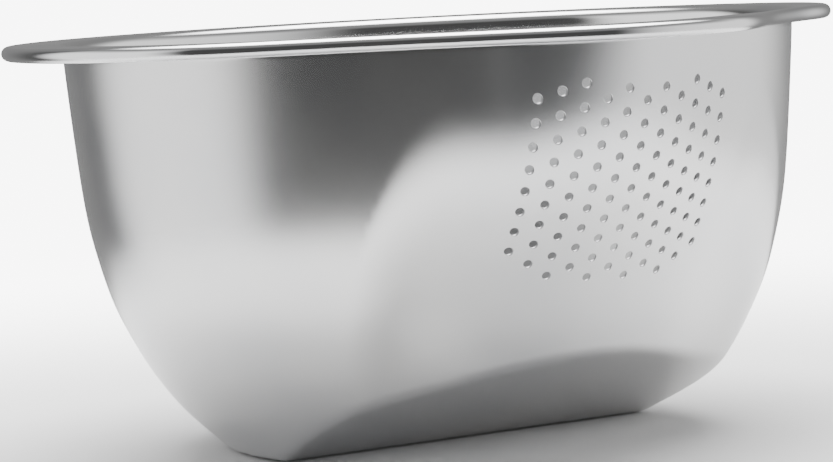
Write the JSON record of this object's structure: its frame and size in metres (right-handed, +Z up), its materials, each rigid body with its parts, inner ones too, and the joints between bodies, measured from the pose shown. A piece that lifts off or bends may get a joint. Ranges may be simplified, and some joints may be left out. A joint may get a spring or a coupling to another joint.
{
  "type": "rice-washing draining bowl",
  "caption": "Round stainless bowl with a rolled rim, a pouring spout, a perforated draining panel below it, and a second slanted base flat.",
  "frame": {"origin": "on the flat base, at the bowl's vertical axis", "axes": "+Z up out of the bowl's mouth, -Y towards the pouring spout, X = 0 is the mirror plane"},
  "size_m": [0.257, 0.2618, 0.1247],
  "materials": {
    "satin_steel": "satin, fine circumferential polish",
    "wire_steel": "drawn wire"
  },
  "bodies": {
    "root": {"bowl_shell": "satin_steel", "rim_wire": "wire_steel"}
  },
  "joints": []
}
